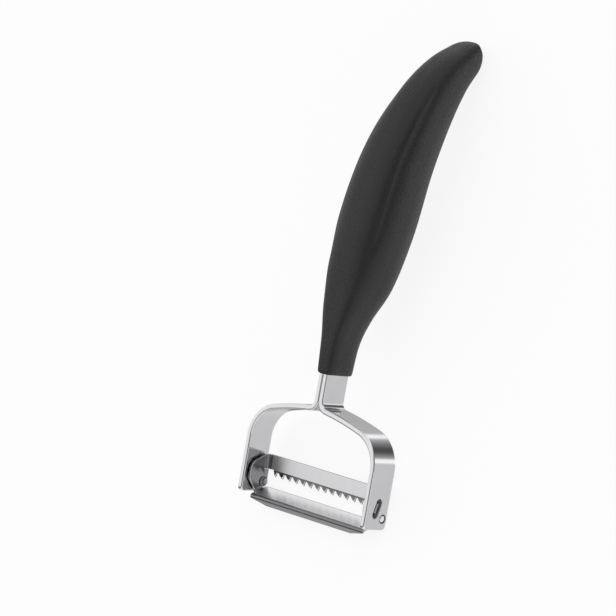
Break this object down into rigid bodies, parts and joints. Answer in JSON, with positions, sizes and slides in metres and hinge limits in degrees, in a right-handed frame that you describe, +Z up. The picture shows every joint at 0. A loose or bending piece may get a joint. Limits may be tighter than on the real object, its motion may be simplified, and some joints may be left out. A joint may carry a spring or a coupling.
{
  "type": "julienne peeler",
  "caption": "Y-shaped hand peeler with a bent steel strip frame, a swivelling toothed julienne blade and a curved black grip.",
  "frame": {"origin": "on the surface the peeler rests on, midway across the arms and midway along its length", "axes": "+X from arm to arm, +Y from the blade towards the handle tip, +Z up with the peeler lying on its back"},
  "size_m": [0.062, 0.1754, 0.0335],
  "materials": {
    "frame_steel": "satin brushed stainless strip with polished edges",
    "weld_steel": "ground weld",
    "core_plastic": "moulded",
    "skin_rubber": "fine matte mould grain",
    "blade_steel": "satin stamped sheet with ground edges",
    "rivet_steel": "plain turned"
  },
  "bodies": {
    "frame": {"frame_strip_left": "frame_steel", "frame_strip_right": "frame_steel", "fork_weld": "weld_steel", "handle_core": "core_plastic", "handle_skin": "skin_rubber"},
    "blade": {"julienne_blade": "blade_steel", "pivot_rivet_left": "rivet_steel", "pivot_rivet_right": "rivet_steel"}
  },
  "joints": [
    {"name": "blade_swivel", "type": "hinge", "parent": "frame", "child": "blade", "pos_m": [0, -0.07972, 0.00366], "axis": [1, 0, 0], "range_deg": [-10, 13]}
  ]
}
